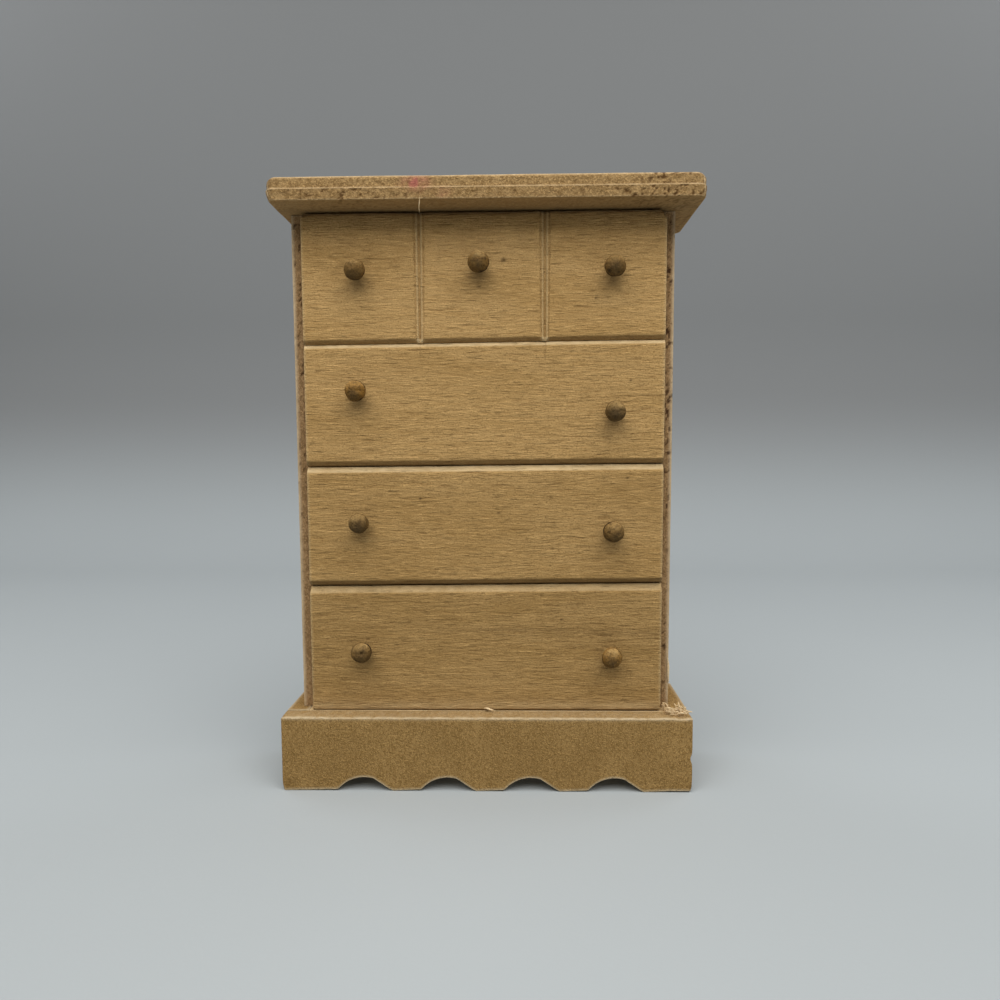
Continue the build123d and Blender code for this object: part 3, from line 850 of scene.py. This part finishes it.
def knob(node, seed):
    """One turned knob, lumpy and soiled in its own way. It is worked out round Y, with its dome
    towards +Y, and then turned to face the front."""
    row = int(node.split("_")[1])
    low, high = box_mm(node)
    centre = (low + high) / 2
    random = np.random.RandomState(seed)
    local, faces = turned(knob_profile(), KNOB_SEGMENTS)
    shift = random.uniform(-40, 40, 3)
    lumps = fractal(local + shift, (0.55, 0.5, 0.55), seed, 2)
    out = np.clip((local[:, 1] - 0.2) / 1.5, 0, 1)
    local[:, [0, 2]] *= (1 - 0.075 * (lumps + 0.5) * out)[:, None]
    flats = fractal(local + shift, (1.5, 1.2, 1.5), seed + 3, 2)
    local[:, 1] -= 0.24 * np.clip(flats + 0.3, 0, 2) * np.clip(local[:, 1] - NECK_LENGTH - 0.4, 0, 1)

    x, y, z = local.T.copy()
    radius = np.hypot(x, z)
    turn = np.arctan2(z, x)
    on_rim = radius > HEAD_R * RIM_FROM
    rim = hump(y - NECK_LENGTH - 0.16, 0.12) * (radius > HEAD_R * 0.85)
    crown = hump(y - STAND, 0.5) * hump(radius - 0.7, 0.6)
    crease = hump(y - RIM_TOP, 0.07) * on_rim
    grain = np.clip(fractal(local + shift, (0.9, 0.9, 0.9), seed + 9, 2), 0, 1)
    pits = np.clip(fractal(local + shift, (1.3, 0.8, 1.3), seed + 5, 2) - 0.35, 0, 1)
    soiled = hump(np.hypot(x - random.uniform(-0.5, 0.5), z + random.uniform(0.2, 0.9)), 1.3)
    soiled = soiled * np.clip((y - NECK_LENGTH) / 1.2, 0, 1) * random.uniform(0.5, 1.0)
    # painted highlight: the upper side of each dome is paler
    highlight_and_chip = np.clip(z / HEAD_R - 0.1, 0, 1) * random.uniform(0.9, 1.4) * (y > RIM_TOP)
    # painted shade in the crease between rim and dome; the pits are dark spots and the crown is soiled
    grime = 0.6 * crease * np.clip(grain * 3, 0, 1) + 1.4 * pits + 0.2 * grain * crown
    # painted shade on the neck, under the head
    grime += 0.6 * np.clip((NECK_LENGTH - y) / 0.5, 0, 1) * (y > 0.1)
    if node in SHADE_CRESCENTS:
        off = np.abs((turn - SHADE_CRESCENTS[node] + math.pi) % (2 * math.pi) - math.pi)
        # painted shade crescent on the rim
        grime += hump(y - RIM_TOP, 0.16) * on_rim * np.clip(1.6 - off / 0.6, 0, 1)
    if node == HOLED:
        hole = hump(np.hypot(x - 0.3, z - 0.2), 0.3) * (y > NECK_LENGTH)
        # painted shade in the hole
        grime += 0.6 * hole
        local[:, 1] -= 0.35 * hole
    if node == CHIPPED:
        chip = hump(turn - CHIP_ANGLE, 0.40) * np.clip((radius / HEAD_R - 0.4) / 0.4, 0, 1)
        chip *= y > NECK_LENGTH - 0.3
        local[:, [0, 2]] *= (1 - 0.60 * chip)[:, None]
        highlight_and_chip = highlight_and_chip + 0.4 * chip
    # painted shade: the lower side of each knob is darker
    grime += 0.75 * np.clip(-local[:, 2] / HEAD_R - 0.35, 0, 1)
    marks = {"wear": 0.5 * rim + highlight_and_chip * (0.5 + grain), "stain": soiled,
             "tint": np.full_like(radius, TINTS[node]), "grime": grime}

    face_y = low[1] + STAND
    world = np.stack([centre[0] + local[:, 0], face_y - local[:, 1], centre[2] + local[:, 2]], axis=1)
    piece = new_piece(f"{node}_turned", world, faces, f"drawer_{row}", [knob_wood],
                      None, (), marks)
    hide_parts(node)


# ---------------------------------------------------------------- loose fibres

STRAND_SIDES, STRAND_RINGS = 6, 12


def strand(path, thick):
    """A thin tapering fibre along a list of points, as a closed tube."""
    path = np.array(path, float)
    sides = STRAND_SIDES
    t = np.linspace(0, 1, STRAND_RINGS)
    at = np.linspace(0, 1, len(path))
    line = np.stack([np.interp(t, at, path[:, i]) for i in range(3)], axis=1)
    for _ in range(2):
        line[1:-1] = (line[:-2] + 2 * line[1:-1] + line[2:]) / 4
    ahead = np.gradient(line, axis=0)
    ahead /= np.linalg.norm(ahead, axis=1, keepdims=True)
    across = np.cross(ahead, (0.3, 0.8, 0.52))
    across /= np.linalg.norm(across, axis=1, keepdims=True)
    other = np.cross(ahead, across)
    width = thick * (1 - 0.75 * np.abs(2 * t - 0.9) ** 2.2)
    angle = np.arange(sides) * 2 * math.pi / sides
    rings = []
    for i in range(len(t)):
        circle = np.outer(np.cos(angle), across[i]) + np.outer(np.sin(angle), other[i])
        rings.append(line[i] + width[i] / 2 * circle)
    points = np.concatenate(rings)
    faces = [tuple(range(sides))[::-1], tuple((len(t) - 1) * sides + j for j in range(sides))]
    for i in range(len(t) - 1):
        a, b = i * sides, (i + 1) * sides
        faces += [(a + j, a + (j + 1) % sides, b + (j + 1) % sides, b + j) for j in range(sides)]
    return points, faces


def joined(parts):
    """Several (points, faces) as one."""
    points, faces, n = [], [], 0
    for p, f in parts:
        points.append(p)
        faces += [tuple(n + i for i in face) for face in f]
        n += len(p)
    return np.concatenate(points), faces


def loose_fibres():
    """Torn fibres at the plinth's right corner, a splinter below the bottom drawer, a fibre off the top."""
    random = np.random.RandomState(7)
    plinth_high = box_mm("plinth_front")[1]
    face_right = box_mm("drawer_4_front")[1][0]
    tufts = []
    for _ in range(60):
        start = np.array([random.uniform(34.5, 38.6), random.uniform(-8.6, -4.6), plinth_high[2] + 0.05])
        lean = np.array([random.uniform(-1.8, 1.8), random.uniform(-1.2, 0.6), random.uniform(0.05, 1.7)])
        end = np.maximum(start + lean, (face_right + 0.3, -20, plinth_high[2] + 0.1))
        mid = (start + end) / 2 + np.array([0, 0, random.uniform(0.1, 0.5)])
        tufts.append(strand([start, mid, end], random.uniform(0.14, 0.36)))
    sliver = [(35.7, -3.95, 24.9), (35.85, -4.0, 23.2), (35.8, -4.05, 21.4), (35.95, -3.9, 19.6)]
    tufts.append(strand(sliver, 0.45))
    points, faces = joined(tufts)
    new_piece("torn_fibres", points, faces, CARCASS, [torn_wood])
    stub = [(-0.9, -6.0, 15.1), (-0.3, -6.4, 15.3), (0.4, -6.7, 15.12), (1.3, -6.8, 15.02)]
    points, faces = strand(stub, 0.42)
    new_piece("splinter", points, faces, "drawer_4", [torn_wood])
    top_low = box_mm("top_board")[0]
    hair = [(-11.5, top_low[1] + 0.12, top_low[2] + 0.5), (-11.55, top_low[1] + 0.1, top_low[2] - 0.4),
            (-11.7, top_low[1] + 0.35, top_low[2] - 1.3), (-11.62, top_low[1] + 0.7, top_low[2] - 2.3)]
    points, faces = strand(hair, 0.16)
    new_piece("hanging_fibre", points, faces, CARCASS, [torn_wood])


# ---------------------------------------------------------------- studio

def sweep():
    """A pale floor that curves up into a wall behind the chest, painted paler aside as painted light, where
    less lamp light falls.
    """
    wall_y, radius, half, front, wall_top = 0.42, 0.16, 1.6, -0.9, 1.2
    profile = [(front, 0.0), (wall_y - radius, 0.0)]
    for i in range(1, 17):
        a = i / 16 * math.pi / 2
        profile.append((wall_y - radius + radius * math.sin(a), radius - radius * math.cos(a)))
    profile.append((wall_y, wall_top))
    points = [(x, y, z) for y, z in profile for x in (-half, half)]
    faces = [(2 * i, 2 * i + 1, 2 * i + 3, 2 * i + 2) for i in range(len(profile) - 1)]
    mesh = bpy.data.meshes.new("floor")
    mesh.from_pydata(points, [], faces)
    mesh.polygons.foreach_set("use_smooth", [True] * len(faces))
    s = Shader("pale_paper")
    darkening = s.noise((0.006, 0.006, 0.006), 2, 0.5)
    fibre = s.noise((1.5, 1.5, 1.5), 2, 0.5)
    place = s.add("ShaderNodeSeparateXYZ", {0: s.place})
    aside = s.math("MAXIMUM", place.outputs["X"], s.math("MULTIPLY", place.outputs["X"], -1))
    colour = s.mix((0.398, 0.428, 0.438), (0.376, 0.404, 0.414), darkening)
    colour = s.mix(colour, (0.236, 0.242, 0.244), s.step(place.outputs["Z"], 0, 110))
    # painted light: paler far to the sides, where the lamps light it less
    colour = s.mix(colour, (0.80, 0.81, 0.82), s.step(aside, 420, 1500))
    mesh.materials.append(s.finish(colour, s.step(fibre, 0.3, 0.7, 0.85, 0.92), fibre, 0.02, 0.1))
    floor = bpy.data.objects.new("floor", mesh)
    bpy.context.scene.collection.objects.link(floor)


LIT = (0, 0, 0.06)       # what the lamps point at


def area_light(name, place, size, watts, colour):
    data = bpy.data.lights.new(name, "AREA")
    data.shape = "RECTANGLE"
    data.size, data.size_y = size
    data.energy = watts
    data.color = colour
    lamp = bpy.data.objects.new(name, data)
    lamp.location = place
    lamp.visible_camera = False
    lamp.rotation_euler = (Vector(LIT) - Vector(place)).to_track_quat("-Z", "Y").to_euler()
    bpy.context.scene.collection.objects.link(lamp)


def studio():
    sweep()
    area_light("key", (0.02, -0.27, 0.52), (0.85, 0.60), 5.8, (1.0, 0.99, 0.97))
    for side in (-1, 1):
        area_light("back_fill", (0.45 * side, 0.30, 0.45), (0.4, 0.4), 1.0, (0.95, 0.97, 1.0))
    world = bpy.data.worlds.new("studio")
    world.use_nodes = True
    nodes, links = world.node_tree.nodes, world.node_tree.links
    background = nodes["Background"]
    background.inputs["Color"].default_value = (0.86, 0.93, 1.0, 1)
    rays = nodes.new("ShaderNodeLightPath")
    strength = nodes.new("ShaderNodeMapRange")
    strength.inputs["To Min"].default_value = 0.06
    strength.inputs["To Max"].default_value = 0.26
    links.new(rays.outputs["Is Camera Ray"], strength.inputs["Value"])
    links.new(strength.outputs["Result"], background.inputs["Strength"])
    bpy.context.scene.world = world
    bpy.context.scene.view_settings.view_transform = "Standard"


CAMERA_PLACE = (0.00607, -0.15736, 0.06641)
CAMERA_PITCH = -0.0906
CAMERA_YAW = 0.0235
CAMERA_ROLL = -0.0043
LENS, SENSOR, SHIFT_Y = 28.2, 36.0, 0.02


def camera():
    data = bpy.data.cameras.new("camera")
    data.lens, data.sensor_width, data.shift_y = LENS, SENSOR, SHIFT_Y
    data.clip_start, data.clip_end = 0.005, 20
    cam = bpy.data.objects.new("camera", data)
    turn = (Matrix.Rotation(CAMERA_YAW, 4, "Z") @ Matrix.Rotation(math.pi / 2 + CAMERA_PITCH, 4, "X")
            @ Matrix.Rotation(CAMERA_ROLL, 4, "Z"))
    cam.matrix_world = Matrix.Translation(CAMERA_PLACE) @ turn
    bpy.context.scene.collection.objects.link(cam)
    bpy.context.scene.camera = cam


camera()
studio()
top_board()
carcass_sides()
hidden_boards()
plinth_front()
plinth_rest()
for row in BEVELS:
    drawer_front(row)
    drawer_box(row)
for number, node in enumerate(KNOBS):
    knob(node, 200 + 10 * number)
loose_fibres()
